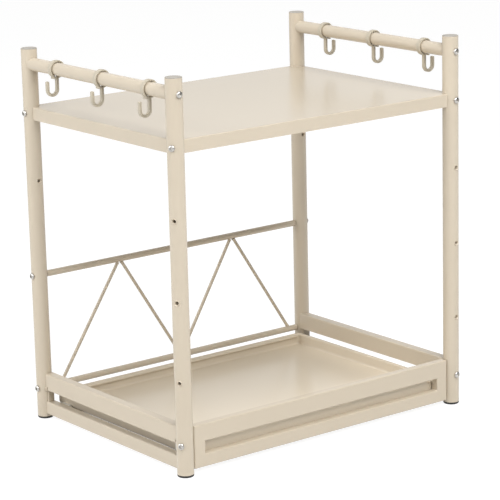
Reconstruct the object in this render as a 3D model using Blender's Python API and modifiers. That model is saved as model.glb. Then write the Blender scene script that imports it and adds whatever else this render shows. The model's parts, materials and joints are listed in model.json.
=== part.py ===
"""Free-standing steel storage organizer: four round posts, an upper shelf, hook rails and a pull-out tray drawer.

The organizer stands on the floor at z = 0, centred on the origin. Its long side runs along X, and the drawer
pulls out towards -Y, which is the front.
"""

import math

import bmesh
import bpy
from mathutils import Matrix, Vector

MM = 0.001

# Overall sizes
HEIGHT = 590 * MM
POST_SPACING_X = 525 * MM
POST_SPACING_Y = 375 * MM
GAP = 0.3 * MM
OVERRUN = 5 * MM
SHEET = 1.2 * MM
BEND_RADIUS = 2 * MM
FACE_OFFSET = 5 * MM

# Posts with their caps and feet
POST_DIAMETER = 25 * MM
POST_WALL = 1.2 * MM
CAP_PLATE = 2.5 * MM
CAP_CHAMFER = 0.6 * MM
CAP_PLUG_LENGTH = 14 * MM
FOOT_PLATE = 3.2 * MM
FOOT_CHAMFER = 0.8 * MM
FOOT_PLUG_LENGTH = 16 * MM
LEVEL_HOLE_DIAMETER = 5 * MM
LEVEL_HOLE_ABOVE_BASE = 70 * MM
LEVEL_PITCH_SHARE = 0.347
LEVEL_HOLE_COUNT = 3

# Bolts
BOLT_DIAMETER = 6 * MM
BOLT_HOLE_DIAMETER = 6.6 * MM
BOLT_HEAD_DIAMETER = 10 * MM
BOLT_HEAD_HEIGHT = 2.8 * MM
BOLT_SOCKET_DIAMETER = 4.4 * MM
BOLT_SOCKET_DEPTH = 1.8 * MM
BAR_BOLT_GRIP = 10 * MM
RAIL_BOLT_GRIP = 14 * MM
SPIGOT_BOLT_REACH = 4 * MM

# Upper shelf
SHELF_FROM_TOP = 90 * MM
SHELF_FLANGE = 20 * MM
STIFFENER_WIDTH = 40 * MM
STIFFENER_DEPTH = 12 * MM
STIFFENER_END_GAP = 8 * MM
BLOCK_THICKNESS = 4 * MM

# Side frames of the base
BASE_BOTTOM = 8 * MM
BASE_TOP = 74 * MM
SLOT_BOTTOM = 29 * MM
SLOT_TOP = 48 * MM
UPPER_BAND_WIDTH = 15.5 * MM
RUNNER_TOP_LIP = 13 * MM
RUNNER_FLANGE = 14.5 * MM
BASE_BLOCK_START = math.radians(60)
SPIGOT_DIAMETER = 12 * MM
SPIGOT_CLEARANCE = 0.3 * MM
SPIGOT_PAST_AXIS = 7 * MM
CROSS_RAIL_WIDTH = 30 * MM
CROSS_RAIL_RIB = 9 * MM
CROSS_RAIL_FROM_CENTRE = 140 * MM

# Drawer
FRONT_DEPTH = 12 * MM
FRONT_END_GAP = 1 * MM
WINDOW_BOTTOM = 28 * MM
WINDOW_TOP = 47 * MM
WINDOW_END_MARGIN = 20.5 * MM
JAMB_DEPTH = 11.7 * MM
PAN_BOTTOM = 22 * MM
PAN_RIM = 40 * MM
PAN_LIP = 3 * MM
PAN_FRONT_TOP = 64 * MM
PAN_REAR_SETBACK = 20 * MM
GLIDE_LENGTH = 20 * MM
GLIDE_CLEARANCE = 1 * MM
GLIDE_WALL = 6 * MM
REAR_GLIDE_SETBACK = 8 * MM

# Hook rails
RAIL_DIAMETER = 20 * MM
RAIL_FROM_TOP = 24 * MM

# Hooks
HOOKS_PER_RAIL = 3
FIRST_HOOK_SHARE = 0.2
HOOK_PITCH_SHARE = 0.32
CLIP_THICKNESS = 3.4 * MM
CLIP_WIDTH = 8 * MM
CLIP_FOOT = 2.4 * MM
CLIP_END_ANGLE = math.radians(-66)
CLIP_FOOT_ANGLE = math.radians(10)
CLIP_STEM_ANGLE = math.radians(270)
HOOK_STROKE = 4.4 * MM
HOOK_WIDTH = 6 * MM
HOOK_BEND_RADIUS = 8.6 * MM
HOOK_DROP = 31 * MM
HOOK_TIP_RISE = 24 * MM

# Back bars and brace
BACK_BAR_DIAMETER = 10 * MM
UPPER_BAR_HEIGHT = 232 * MM
LOWER_BAR_HEIGHT = 49 * MM
BRACE_WIRE_DIAMETER = 5.2 * MM
BRACE_FOOT_SPREAD = 0.8 * MM
BRACE_LOW_SHARES = (0.06, 0.51, 0.945)
BRACE_HIGH_SHARES = (0.29, 0.72)

# Facets of the round pieces
POST_STEPS = 24
RAIL_STEPS = 24
SMALL_STEPS = 12
HOLE_STEPS = 12
BLOCK_STEPS = 5
CLIP_STEPS = 20
BEND_STEPS = 2

# Worked-out sizes
POST_RADIUS = POST_DIAMETER / 2
POST_BORE_RADIUS = POST_RADIUS - POST_WALL
SEAT_RADIUS = POST_RADIUS + GAP
BLOCK_RADIUS = SEAT_RADIUS + BLOCK_THICKNESS
RAIL_RADIUS = RAIL_DIAMETER / 2
POST_X = POST_SPACING_X / 2
POST_Y = POST_SPACING_Y / 2
POST_TOP = HEIGHT - CAP_PLATE - GAP
POST_FOOT = FOOT_PLATE + GAP
BOLT_HOLE_RADIUS = BOLT_HOLE_DIAMETER / 2
RAIL_HEIGHT = HEIGHT - RAIL_FROM_TOP
SHELF_TOP = HEIGHT - SHELF_FROM_TOP
SHELF_BOLT_HEIGHT = SHELF_TOP - SHELF_FLANGE / 2
LEVEL_HOLE_LOWEST = BASE_TOP + LEVEL_HOLE_ABOVE_BASE
LEVEL_HOLE_PITCH = LEVEL_PITCH_SHARE * (SHELF_BOLT_HEIGHT - LEVEL_HOLE_LOWEST)
LEVEL_HOLE_HIGHEST = LEVEL_HOLE_LOWEST + (LEVEL_HOLE_COUNT - 1) * LEVEL_HOLE_PITCH
PAN_HALF_WIDTH = POST_X - POST_RADIUS - FRONT_END_GAP - PAN_LIP
FRONT_BACK_Y = -POST_Y - FACE_OFFSET + FRONT_DEPTH
GLIDE_BOTTOM = BASE_BOTTOM + SHEET + GAP
GLIDE_TOP = SLOT_BOTTOM - SHEET - GAP
GLIDE_OUTER_X = POST_X + FACE_OFFSET - SHEET - GAP

# Each corner's side along X and Y, and how far its bolts turn from the Y face of the post towards its X face
CORNERS = {
    "front_left": (-1, -1, math.radians(61)),
    "front_right": (1, -1, math.radians(3)),
    "rear_left": (-1, 1, math.radians(90)),
    "rear_right": (1, 1, math.radians(90)),
}

# Finish: colour, roughness, metallic
CREAM_PAINT = ((0.74, 0.68, 0.57), 0.35, 0.0)
CREAM_PLASTIC = ((0.66, 0.61, 0.52), 0.45, 0.0)
BRIGHT_STEEL = ((0.68, 0.67, 0.64), 0.28, 1.0)
BLACK_RUBBER = ((0.02, 0.02, 0.02), 0.7, 0.0)
WHITE_NYLON = ((0.86, 0.86, 0.83), 0.5, 0.0)


def clear_scene():
    for obj in list(bpy.data.objects):
        bpy.data.objects.remove(obj, do_unlink=True)


def new_collection(name):
    collection = bpy.data.collections.new(name)
    bpy.context.scene.collection.children.link(collection)
    return collection


def new_material(name, finish):
    colour, roughness, metallic = finish
    material = bpy.data.materials.new(name)
    material.use_nodes = True
    shader = material.node_tree.nodes["Principled BSDF"]
    shader.inputs["Base Color"].default_value = (*colour, 1)
    shader.inputs["Roughness"].default_value = roughness
    shader.inputs["Metallic"].default_value = metallic
    return material


def smooth(mesh):
    mesh.shade_smooth()
    mesh.set_sharp_from_angle(angle=math.radians(35))


def add_part(name, mesh, finish, place=Matrix()):
    """A named piece of the organizer with its own material."""
    part = bpy.data.objects.new(name, mesh)
    part.matrix_world = place
    if not mesh.materials:
        mesh.materials.append(None)
    part.material_slots[0].link = "OBJECT"
    part.material_slots[0].material = new_material(name, finish)
    parts.objects.link(part)
    return part


def add_cutter(name, mesh, place=Matrix()):
    """A helper that only cuts or joins other pieces."""
    cutter = bpy.data.objects.new(name, mesh)
    cutter.matrix_world = place
    cutter.hide_render = True
    cutter.display_type = "WIRE"
    cutters.objects.link(cutter)
    return cutter


def combine(part, other, operation):
    modifier = part.modifiers.new(other.name, "BOOLEAN")
    modifier.operation = operation
    modifier.object = other


def finished_mesh(obj):
    """The object's mesh with its modifiers applied, closed and pointing out. The object itself is removed."""
    bpy.context.view_layer.update()
    graph = bpy.context.evaluated_depsgraph_get()
    mesh = bpy.data.meshes.new_from_object(obj.evaluated_get(graph))
    bpy.data.objects.remove(obj, do_unlink=True)
    bm = bmesh.new()
    bm.from_mesh(mesh)
    bmesh.ops.remove_doubles(bm, verts=bm.verts, dist=GAP / 30)
    bmesh.ops.recalc_face_normals(bm, faces=bm.faces)
    bm.to_mesh(mesh)
    bm.free()
    smooth(mesh)
    return mesh


def turned_mesh(name, profile, steps, closed=False):
    """Turns (radius, height) points about Z. The points run down the outer side, from top to bottom."""
    mesh = bpy.data.meshes.new(name)
    bm = bmesh.new()
    points = [bm.verts.new((radius, 0, height)) for radius, height in profile]
    for start, end in zip(points, points[1:]):
        bm.edges.new((start, end))
    if closed:
        bm.edges.new((points[-1], points[0]))
    bm.to_mesh(mesh)
    bm.free()
    turned = add_cutter(name, mesh)
    screw = turned.modifiers.new("Turn", "SCREW")
    screw.steps = steps
    screw.render_steps = steps
    screw.use_merge_vertices = True
    screw.merge_threshold = GAP / 30
    return finished_mesh(turned)


def rod_mesh(name, radius, bottom, top, steps):
    """A round bar along Z."""
    return turned_mesh(name, [(0, top), (radius, top), (radius, bottom), (0, bottom)], steps)


def tube_mesh(name, radius, bore_radius, bottom, top, steps):
    """An open tube along Z."""
    profile = [(radius, top), (radius, bottom), (bore_radius, bottom), (bore_radius, top)]
    return turned_mesh(name, profile, steps, closed=True)


def box_mesh(name, low, high):
    """A box between two corners."""
    low, high = Vector(low), Vector(high)
    bm = bmesh.new()
    bmesh.ops.create_cube(bm, size=1)
    bmesh.ops.scale(bm, vec=high - low, verts=bm.verts)
    bmesh.ops.translate(bm, vec=(low + high) / 2, verts=bm.verts)
    mesh = bpy.data.meshes.new(name)
    bm.to_mesh(mesh)
    bm.free()
    return mesh


def outline_mesh(name, outline, thickness):
    """A flat outline in XY, thickened to both sides of z = 0."""
    curve = bpy.data.curves.new(name, "CURVE")
    curve.dimensions = "2D"
    curve.fill_mode = "BOTH"
    curve.extrude = thickness / 2
    spline = curve.splines.new("POLY")
    spline.points.add(len(outline) - 1)
    for point, (x, y) in zip(spline.points, outline):
        point.co = (x, y, 0, 1)
    spline.use_cyclic_u = True
    return finished_mesh(add_cutter(name, curve))


def arc(centre_x, centre_y, radius, start, end, steps):
    """Points along an arc, from one angle to the other."""
    angles = [start + (end - start) * step / steps for step in range(steps + 1)]
    return [(centre_x + radius * math.cos(a), centre_y + radius * math.sin(a)) for a in angles]


def along(direction, origin):
    """A placing that turns +Z to the given direction and moves the origin."""
    turn = Vector(direction).to_track_quat("Z", "Y").to_matrix().to_4x4()
    return Matrix.Translation(origin) @ turn


def standing_on_y():
    """Turns an outline in XY so that its second coordinate points up, and its thickness runs along Y."""
    return Matrix.Rotation(math.radians(90), 4, "X")


def fold_sheet(part):
    """Rounds the folds of an open surface and gives it the sheet's thickness on its inner side."""
    bend = part.modifiers.new("Bends", "BEVEL")
    bend.width = BEND_RADIUS
    bend.segments = BEND_STEPS
    bend.limit_method = "ANGLE"
    wall = part.modifiers.new("Sheet", "SOLIDIFY")
    wall.thickness = SHEET
    wall.offset = -1
    wall.use_even_offset = True


def folded_strip_mesh(name, path, length, outward):
    """A folded strip: a path in XZ drawn out along Y. Its first face looks the outward way."""
    bm = bmesh.new()
    points = [bm.verts.new((x, -length / 2, z)) for x, z in path]
    edges = [bm.edges.new(pair) for pair in zip(points, points[1:])]
    drawn = bmesh.ops.extrude_edge_only(bm, edges=edges)["geom"]
    moved = [item for item in drawn if isinstance(item, bmesh.types.BMVert)]
    bmesh.ops.translate(bm, vec=(0, length, 0), verts=moved)
    bmesh.ops.recalc_face_normals(bm, faces=bm.faces)
    if edges[0].link_faces[0].normal.dot(Vector(outward)) < 0:
        bmesh.ops.reverse_faces(bm, faces=bm.faces)
    mesh = bpy.data.meshes.new(name)
    bm.to_mesh(mesh)
    bm.free()
    return mesh


def post_axis(side_x, side_y, height=0):
    return Vector((side_x * POST_X, side_y * POST_Y, height))


def head_direction(side_x, side_y, turn):
    """The way a bolt's head faces on this corner's post."""
    return Vector((side_x * math.sin(turn), side_y * math.cos(turn), 0))


def drill(part, name, origin, direction, start, end, radius):
    """Cuts a round hole along a direction, between two distances from the origin."""
    mesh = rod_mesh(name, radius, start, end, HOLE_STEPS)
    combine(part, add_cutter(name, mesh, along(direction, origin)), "DIFFERENCE")


def clear_post(part, side_x, side_y):
    """Cuts away what would stand in the space of a post."""
    name = f"{part.name}_round_{side_x}_{side_y}"
    mesh = rod_mesh(name, SEAT_RADIUS, -OVERRUN, HEIGHT + OVERRUN, POST_STEPS)
    cutter = add_cutter(name, mesh, Matrix.Translation(post_axis(side_x, side_y)))
    combine(part, cutter, "DIFFERENCE")


def make_post(corner, side_x, side_y, turn):
    """A tube with its bolt holes, the hole for the base spigot and the holes for other shelf levels."""
    name = f"post_{corner}"
    mesh = tube_mesh(name, POST_RADIUS, POST_BORE_RADIUS, POST_FOOT, POST_TOP, POST_STEPS)
    post = add_part(name, mesh, CREAM_PAINT, Matrix.Translation(post_axis(side_x, side_y)))
    outside = POST_RADIUS + OVERRUN
    facing = head_direction(side_x, side_y, turn)
    length_wise = Vector((0, side_y, 0))
    through = [("rail", RAIL_HEIGHT, length_wise), ("shelf", SHELF_BOLT_HEIGHT, facing)]
    if side_y > 0:
        through.append(("upper_bar", UPPER_BAR_HEIGHT, facing))
        through.append(("lower_bar", LOWER_BAR_HEIGHT, facing))
        through.append(("level", LEVEL_HOLE_HIGHEST, length_wise))
    for label, height, direction in through:
        origin = post_axis(side_x, side_y, height)
        drill(post, f"{name}_{label}", origin, direction, -outside, outside, BOLT_HOLE_RADIUS)
    if side_y < 0:
        origin = post_axis(side_x, side_y, LOWER_BAR_HEIGHT)
        drill(post, f"{name}_base", origin, facing, 0, outside, BOLT_HOLE_RADIUS)
        for level in range(LEVEL_HOLE_COUNT):
            height = LEVEL_HOLE_LOWEST + level * LEVEL_HOLE_PITCH
            origin = post_axis(side_x, side_y, height)
            drill(post, f"{name}_level_{level}", origin, facing, 0, outside, LEVEL_HOLE_DIAMETER / 2)
    origin = post_axis(side_x, side_y, LOWER_BAR_HEIGHT)
    radius = SPIGOT_DIAMETER / 2 + SPIGOT_CLEARANCE
    drill(post, f"{name}_spigot", origin, -length_wise, 0, outside, radius)


def make_cap(corner, side_x, side_y):
    """A flat cap with a plug that sits in the top of the post."""
    plug_radius = POST_BORE_RADIUS - GAP
    profile = [
        (0, HEIGHT),
        (POST_RADIUS - CAP_CHAMFER, HEIGHT),
        (POST_RADIUS, HEIGHT - CAP_CHAMFER),
        (POST_RADIUS, HEIGHT - CAP_PLATE),
        (plug_radius, HEIGHT - CAP_PLATE),
        (plug_radius, HEIGHT - CAP_PLATE - CAP_PLUG_LENGTH),
        (0, HEIGHT - CAP_PLATE - CAP_PLUG_LENGTH),
    ]
    name = f"post_cap_{corner}"
    mesh = turned_mesh(name, profile, POST_STEPS)
    add_part(name, mesh, CREAM_PLASTIC, Matrix.Translation(post_axis(side_x, side_y)))


def make_foot(corner, side_x, side_y):
    """A rubber foot with a plug that sits in the bottom of the post."""
    plug_radius = POST_BORE_RADIUS - GAP
    profile = [
        (0, FOOT_PLATE + FOOT_PLUG_LENGTH),
        (plug_radius, FOOT_PLATE + FOOT_PLUG_LENGTH),
        (plug_radius, FOOT_PLATE),
        (POST_RADIUS, FOOT_PLATE),
        (POST_RADIUS, FOOT_CHAMFER),
        (POST_RADIUS - FOOT_CHAMFER, 0),
        (0, 0),
    ]
    name = f"foot_{corner}"
    mesh = turned_mesh(name, profile, POST_STEPS)
    add_part(name, mesh, BLACK_RUBBER, Matrix.Translation(post_axis(side_x, side_y)))


def bolt_mesh(name, reach):
    """A domed socket-head bolt through a post, with its head on +Z and its tip past the post's axis."""
    head_radius = BOLT_HEAD_DIAMETER / 2
    socket_radius = BOLT_SOCKET_DIAMETER / 2
    seat = SEAT_RADIUS
    top = seat + BOLT_HEAD_HEIGHT
    profile = [
        (0, top - BOLT_SOCKET_DEPTH),
        (socket_radius, top - BOLT_SOCKET_DEPTH),
        (socket_radius, top),
        ((socket_radius + head_radius) / 2, top - BOLT_HEAD_HEIGHT / 5),
        (head_radius, seat + BOLT_HEAD_HEIGHT / 4),
        (head_radius, seat),
        (BOLT_DIAMETER / 2, seat),
        (BOLT_DIAMETER / 2, -reach),
        (0, -reach),
    ]
    return turned_mesh(name, profile, SMALL_STEPS)


def make_bolts(corner, side_x, side_y, turn):
    """The bolts of one post: to the rail, to the shelf, to the base and, at the rear, to the two back bars."""
    facing = head_direction(side_x, side_y, turn)
    length_wise = Vector((0, side_y, 0))
    bolts = [
        ("rail_bolt", RAIL_HEIGHT, length_wise, SEAT_RADIUS + RAIL_BOLT_GRIP),
        ("shelf_bolt", SHELF_BOLT_HEIGHT, facing, BLOCK_RADIUS),
    ]
    if side_y < 0:
        bolts.append(("base_bolt", LOWER_BAR_HEIGHT, facing, SPIGOT_BOLT_REACH))
    else:
        bolts.append(("base_bolt", LOWER_BAR_HEIGHT, facing, SEAT_RADIUS + BAR_BOLT_GRIP))
        bolts.append(("back_bar_bolt", UPPER_BAR_HEIGHT, facing, SEAT_RADIUS + BAR_BOLT_GRIP))
    for label, height, direction, reach in bolts:
        name = f"{label}_{corner}"
        place = along(direction, post_axis(side_x, side_y, height))
        add_part(name, bolt_mesh(name, reach), BRIGHT_STEEL, place)


def make_shelf():
    """One sheet with its edges folded down, cut round the posts, with a tapped block welded in each corner."""
    mesh = box_mesh(
        "shelf",
        (-POST_X - FACE_OFFSET, -POST_Y - FACE_OFFSET, SHELF_TOP - SHELF_FLANGE),
        (POST_X + FACE_OFFSET, POST_Y + FACE_OFFSET, SHELF_TOP),
    )
    bm = bmesh.new()
    bm.from_mesh(mesh)
    underside = [face for face in bm.faces if face.normal.z < -0.5]
    bmesh.ops.delete(bm, geom=underside, context="FACES_ONLY")
    bm.to_mesh(mesh)
    bm.free()
    shelf = add_part("shelf", mesh, CREAM_PAINT)
    fold_sheet(shelf)
    for side_x, side_y, _ in CORNERS.values():
        clear_post(shelf, side_x, side_y)
    for corner, (side_x, side_y, turn) in CORNERS.items():
        add_shelf_corner(shelf, corner, side_x, side_y, turn)


def make_stiffener():
    """A hat channel under the middle of the shelf."""
    top = SHELF_TOP - SHEET - GAP
    half = STIFFENER_WIDTH / 2
    low = top - STIFFENER_DEPTH
    length = POST_SPACING_X - 2 * STIFFENER_END_GAP
    path = [(-half, top), (-half, low), (half, low), (half, top)]
    mesh = folded_strip_mesh("shelf_stiffener", path, length, (-1, 0, 0))
    turn = Matrix.Rotation(math.radians(90), 4, "Z")
    fold_sheet(add_part("shelf_stiffener", mesh, CREAM_PAINT, turn))


def corner_outline(side_x, side_y, start, end):
    """A curved block round a post. Angles are measured inward from the X side towards the Y side."""
    outer = arc(0, 0, BLOCK_RADIUS, start, end, BLOCK_STEPS)
    inner = arc(0, 0, SEAT_RADIUS, end, start, BLOCK_STEPS)
    return [(-side_x * u, -side_y * v) for u, v in outer + inner]


def widest_angle():
    """How far past a right angle a block reaches before it meets the sheet's inner face."""
    return math.asin((FACE_OFFSET - SHEET - GAP) / BLOCK_RADIUS)


def add_shelf_corner(shelf, corner, side_x, side_y, turn):
    """Welds a curved block under the shelf's corner and taps it for the shelf bolt."""
    name = f"shelf_corner_{corner}"
    top = SHELF_TOP - SHEET / 2
    bottom = SHELF_TOP - SHELF_FLANGE + BEND_RADIUS
    reach = math.asin((FACE_OFFSET - SHEET / 2) / BLOCK_RADIUS)
    outline = corner_outline(side_x, side_y, -reach, math.radians(90) + reach)
    middle = post_axis(side_x, side_y, (top + bottom) / 2)
    block = add_cutter(name, outline_mesh(name, outline, top - bottom), Matrix.Translation(middle))
    combine(shelf, block, "UNION")
    origin = post_axis(side_x, side_y, SHELF_BOLT_HEIGHT)
    inward = -head_direction(side_x, side_y, turn)
    drill(shelf, f"{name}_tap", origin, inward, 0, BLOCK_RADIUS + OVERRUN, BOLT_HOLE_RADIUS)


def make_base_corner(corner, side_x, side_y, turn):
    """A block that ends the side bands at a post, with a spigot that plugs into the post."""
    name = f"base_corner_{corner}"
    outline = corner_outline(
        side_x, side_y, BASE_BLOCK_START, math.radians(90) + widest_angle()
    )
    top = BASE_TOP - SHEET - GAP
    mesh = outline_mesh(name, outline, top - BASE_BOTTOM)
    middle = (top + BASE_BOTTOM) / 2
    block = add_part(name, mesh, CREAM_PAINT, Matrix.Translation(post_axis(side_x, side_y, middle)))
    origin = post_axis(side_x, side_y, LOWER_BAR_HEIGHT)
    inward = Vector((0, -side_y, 0))
    spigot_end = SEAT_RADIUS + BLOCK_THICKNESS / 2
    spigot = rod_mesh(
        f"{name}_spigot", SPIGOT_DIAMETER / 2, -SPIGOT_PAST_AXIS, spigot_end, SMALL_STEPS
    )
    combine(block, add_cutter(f"{name}_spigot", spigot, along(inward, origin)), "UNION")
    facing = head_direction(side_x, side_y, turn)
    past = SPIGOT_DIAMETER if side_y > 0 else SPIGOT_BOLT_REACH + GAP
    drill(block, f"{name}_tap", origin, facing, -past, POST_RADIUS, BOLT_HOLE_RADIUS)


def upper_band_path(side_x):
    """The section of an upper band: a channel that is open below."""
    face = side_x * FACE_OFFSET
    inner = side_x * (FACE_OFFSET - UPPER_BAND_WIDTH)
    return [(inner, SLOT_TOP), (inner, BASE_TOP), (face, BASE_TOP), (face, SLOT_TOP)]


def lower_band_path(side_x):
    """The section of a lower band: a channel that is open to the inside, for the glides."""
    face = side_x * FACE_OFFSET
    return [
        (face - side_x * RUNNER_TOP_LIP, SLOT_BOTTOM),
        (face, SLOT_BOTTOM),
        (face, BASE_BOTTOM),
        (face - side_x * RUNNER_FLANGE, BASE_BOTTOM),
    ]


def make_side_band(name, side_x, path, outward):
    """One band of a side frame: a folded strip whose ends are cut round the posts."""
    mesh = folded_strip_mesh(name, path, POST_SPACING_Y, outward)
    band = add_part(name, mesh, CREAM_PAINT, Matrix.Translation((side_x * POST_X, 0, 0)))
    fold_sheet(band)
    for side_y in (-1, 1):
        clear_post(band, side_x, side_y)
        origin = post_axis(side_x, side_y, LOWER_BAR_HEIGHT)
        radius = SPIGOT_DIAMETER / 2 + SPIGOT_CLEARANCE
        drill(band, f"{name}_notch_{side_y}", origin, (0, -side_y, 0), 0, BLOCK_RADIUS, radius)
    return band


def end_lips(band, side_x):
    """Cuts the lips of a lower band short of the corner blocks."""
    inner_face = side_x * (POST_X + FACE_OFFSET - SHEET - GAP)
    deepest = side_x * (POST_X - RUNNER_FLANGE - OVERRUN)
    for side_y in (-1, 1):
        lip_end = side_y * (POST_Y - BLOCK_RADIUS - GAP)
        beyond = side_y * (POST_Y + POST_RADIUS + OVERRUN)
        low = (min(inner_face, deepest), min(lip_end, beyond), BASE_BOTTOM - OVERRUN)
        high = (max(inner_face, deepest), max(lip_end, beyond), SLOT_BOTTOM + OVERRUN)
        label = f"{band.name}_lip_end_{side_y}"
        combine(band, add_cutter(label, box_mesh(label, low, high)), "DIFFERENCE")


def make_cross_rail(name, centre_y):
    """A channel under the drawer that ties the two side frames together."""
    half = CROSS_RAIL_WIDTH / 2
    length = 2 * (POST_X + FACE_OFFSET - RUNNER_FLANGE - GAP)
    path = [
        (-half, BASE_BOTTOM + CROSS_RAIL_RIB),
        (-half, BASE_BOTTOM),
        (half, BASE_BOTTOM),
        (half, BASE_BOTTOM + CROSS_RAIL_RIB),
    ]
    mesh = folded_strip_mesh(name, path, length, (-1, 0, 0))
    turn = Matrix.Rotation(math.radians(90), 4, "Z")
    rail = add_part(name, mesh, CREAM_PAINT, Matrix.Translation((0, centre_y, 0)) @ turn)
    fold_sheet(rail)
    rib_end = PAN_HALF_WIDTH - GLIDE_WALL
    for side_x in (-1, 1):
        near = side_x * rib_end
        far = side_x * (POST_X + OVERRUN)
        corner_low = (min(near, far), centre_y - half - OVERRUN, BASE_BOTTOM + SHEET)
        corner_high = (max(near, far), centre_y + half + OVERRUN, PAN_BOTTOM)
        label = f"{name}_rib_end_{side_x}"
        combine(rail, add_cutter(label, box_mesh(label, corner_low, corner_high)), "DIFFERENCE")


def make_drawer_front():
    """A folded panel between the front posts, with a long window that serves as the handle."""
    half_width = POST_X - POST_RADIUS - FRONT_END_GAP
    half_window = half_width - WINDOW_END_MARGIN
    front_y = -POST_Y - FACE_OFFSET
    mesh = box_mesh(
        "drawer_front", (-half_width, front_y, BASE_BOTTOM), (half_width, FRONT_BACK_Y, BASE_TOP)
    )
    bm = bmesh.new()
    bm.from_mesh(mesh)
    back = [face for face in bm.faces if face.normal.y > 0.5]
    front = [face for face in bm.faces if face.normal.y < -0.5]
    bmesh.ops.delete(bm, geom=back, context="FACES_ONLY")
    bmesh.ops.inset_region(bm, faces=front, thickness=(WINDOW_TOP - WINDOW_BOTTOM) / 2)
    window = front[0]
    middle = (BASE_BOTTOM + BASE_TOP) / 2
    for corner in window.verts:
        corner.co.x = math.copysign(half_window, corner.co.x)
        corner.co.z = WINDOW_TOP if corner.co.z > middle else WINDOW_BOTTOM
    window_edges = list(window.edges)
    bmesh.ops.delete(bm, geom=[window], context="FACES_ONLY")
    drawn = bmesh.ops.extrude_edge_only(bm, edges=window_edges)["geom"]
    jambs = [item for item in drawn if isinstance(item, bmesh.types.BMVert)]
    bmesh.ops.translate(bm, vec=(0, JAMB_DEPTH, 0), verts=jambs)
    bmesh.ops.recalc_face_normals(bm, faces=bm.faces)
    bm.to_mesh(mesh)
    bm.free()
    fold_sheet(add_part("drawer_front", mesh, CREAM_PAINT))


def make_drawer_pan():
    """The drawer's tray: low sides with a lip turned out, and a taller front wall behind the window."""
    front_y = FRONT_BACK_Y + GAP
    rear_y = POST_Y - PAN_REAR_SETBACK - PAN_LIP
    mesh = box_mesh(
        "drawer_pan", (-PAN_HALF_WIDTH, front_y, PAN_BOTTOM), (PAN_HALF_WIDTH, rear_y, PAN_RIM)
    )
    bm = bmesh.new()
    bm.from_mesh(mesh)
    top = [face for face in bm.faces if face.normal.z > 0.5]
    rim_edges = list(top[0].edges)
    bmesh.ops.delete(bm, geom=top, context="FACES_ONLY")
    front_edges = [edge for edge in rim_edges if all(v.co.y < 0 for v in edge.verts)]
    lip_edges = [edge for edge in rim_edges if edge not in front_edges]
    drawn = bmesh.ops.extrude_edge_only(bm, edges=lip_edges)["geom"]
    for corner in [item for item in drawn if isinstance(item, bmesh.types.BMVert)]:
        corner.co.x += math.copysign(PAN_LIP, corner.co.x)
        if corner.co.y > 0:
            corner.co.y += PAN_LIP
    drawn = bmesh.ops.extrude_edge_only(bm, edges=front_edges)["geom"]
    raised = [item for item in drawn if isinstance(item, bmesh.types.BMVert)]
    bmesh.ops.translate(bm, vec=(0, 0, PAN_FRONT_TOP - PAN_RIM), verts=raised)
    bm.to_mesh(mesh)
    bm.free()
    fold_sheet(add_part("drawer_pan", mesh, CREAM_PAINT))


def glide_outline(side_x, inner, wall_top):
    """The section of the fixed glide: a block in the runner channel and a wall under the pan's lip."""
    outline = [
        (inner, GLIDE_BOTTOM),
        (GLIDE_OUTER_X, GLIDE_BOTTOM),
        (GLIDE_OUTER_X, GLIDE_TOP),
        (inner + GLIDE_WALL, GLIDE_TOP),
        (inner + GLIDE_WALL, wall_top),
        (inner, wall_top),
    ]
    return [(side_x * x, z) for x, z in outline]


def make_glides(label, side_x):
    """The nylon glides of one side: a fixed one at the front and one on the drawer's rear end."""
    name = f"front_glide_{label}"
    inner = PAN_HALF_WIDTH + GLIDE_CLEARANCE
    outline = glide_outline(side_x, inner, PAN_RIM - SHEET - GAP)
    fixed_y = -POST_Y + BLOCK_RADIUS + GAP + GLIDE_LENGTH / 2
    place = Matrix.Translation((0, fixed_y, 0)) @ standing_on_y()
    add_part(name, outline_mesh(name, outline, GLIDE_LENGTH), WHITE_NYLON, place)
    name = f"drawer_glide_{label}"
    inner = side_x * (PAN_HALF_WIDTH + GAP)
    outer = side_x * GLIDE_OUTER_X
    rear_y = POST_Y - PAN_REAR_SETBACK - PAN_LIP - REAR_GLIDE_SETBACK
    low = (min(inner, outer), rear_y - GLIDE_LENGTH, GLIDE_BOTTOM)
    high = (max(inner, outer), rear_y, GLIDE_TOP)
    add_part(name, box_mesh(name, low, high), WHITE_NYLON)


def make_rail(label, side_x):
    """A round rail between the front and rear posts, its ends shaped to the posts and tapped for their bolts."""
    name = f"side_rail_{label}"
    half = POST_SPACING_Y / 2
    mesh = rod_mesh(name, RAIL_RADIUS, -half, half, RAIL_STEPS)
    place = along((0, 1, 0), (side_x * POST_X, 0, RAIL_HEIGHT))
    rail = add_part(name, mesh, CREAM_PAINT, place)
    for side_y in (-1, 1):
        clear_post(rail, side_x, side_y)
        origin = post_axis(side_x, side_y, RAIL_HEIGHT)
        end = SEAT_RADIUS + RAIL_BOLT_GRIP + GAP
        drill(rail, f"{name}_tap_{side_y}", origin, (0, -side_y, 0), 0, end, BOLT_HOLE_RADIUS)


def clip_outline():
    """The spring clip round the rail, open between its foot and the hook's stem."""
    inner_radius = RAIL_RADIUS + GAP
    outer_radius = inner_radius + CLIP_THICKNESS
    foot_start = CLIP_END_ANGLE + CLIP_FOOT_ANGLE
    outer = arc(0, 0, outer_radius, CLIP_STEM_ANGLE, foot_start, CLIP_STEPS)
    foot = arc(0, 0, outer_radius + CLIP_FOOT, foot_start, CLIP_END_ANGLE, 1)
    inner = arc(0, 0, inner_radius, CLIP_END_ANGLE, CLIP_STEM_ANGLE, CLIP_STEPS)
    return outer + foot + inner


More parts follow.
